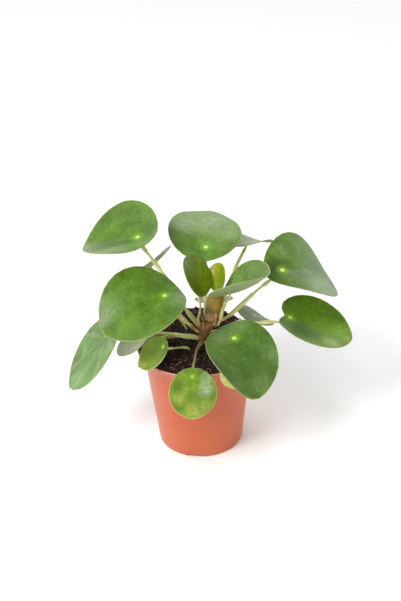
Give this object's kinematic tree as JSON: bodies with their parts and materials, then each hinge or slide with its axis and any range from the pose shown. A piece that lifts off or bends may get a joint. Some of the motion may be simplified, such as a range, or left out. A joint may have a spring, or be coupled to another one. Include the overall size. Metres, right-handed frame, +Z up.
{
  "type": "potted chinese money plant",
  "caption": "Young money plant with round, glossy, shield-shaped leaves on thin stalks, growing from a short scaly stem in a soil-filled terracotta-coloured plastic nursery pot.",
  "frame": {"origin": "centre of the underside of the pot, on the plane that it stands on", "axes": "+Z up along the pot's axis, -Y towards the front of the plant, +X to its right, along its longest extent"},
  "size_m": [0.2796, 0.185, 0.2401],
  "materials": {
    "pot": "thin terracotta-coloured plastic with a soft sheen",
    "soil": "dark moist potting soil with fibres and crumbs",
    "stem": "reddish-brown bark and dry papery scales",
    "sheath": "amber translucent membrane with brown streaks",
    "stalk": "pale yellow-green, smooth",
    "leaf": "deep green, waxy gloss above and paler below",
    "young_leaf": "yellow-green, waxy gloss"
  },
  "bodies": {
    "root": {"pot": "pot", "soil": "soil", "stem": "stem", "sheath": "sheath", "blade_top_left": "leaf", "blade_top_back": "leaf", "blade_large_left": "leaf", "blade_low_left": "leaf", "blade_low_left_rear": "leaf", "blade_small_left": "leaf", "blade_front": "leaf", "blade_front_right": "leaf", "blade_front_right_young": "young_leaf", "blade_right": "leaf", "blade_upper_right": "leaf", "blade_low_right_rear": "leaf", "blade_back_right": "leaf", "blade_back_left": "leaf", "blade_centre_right": "leaf", "blade_rear": "leaf", "blade_young_centre": "young_leaf", "blade_youngest": "young_leaf", "stalk_top_left": "stalk", "stalk_top_back": "stalk", "stalk_large_left": "stalk", "stalk_low_left": "stalk", "stalk_low_left_rear": "stalk", "stalk_small_left": "stalk", "stalk_front": "stalk", "stalk_front_right": "stalk", "stalk_front_right_young": "stalk", "stalk_right": "stalk", "stalk_upper_right": "stalk", "stalk_low_right_rear": "stalk", "stalk_back_right": "stalk", "stalk_back_left": "stalk", "stalk_centre_right": "stalk", "stalk_rear": "stalk", "stalk_young_centre": "stalk", "stalk_youngest": "stalk"}
  },
  "joints": []
}
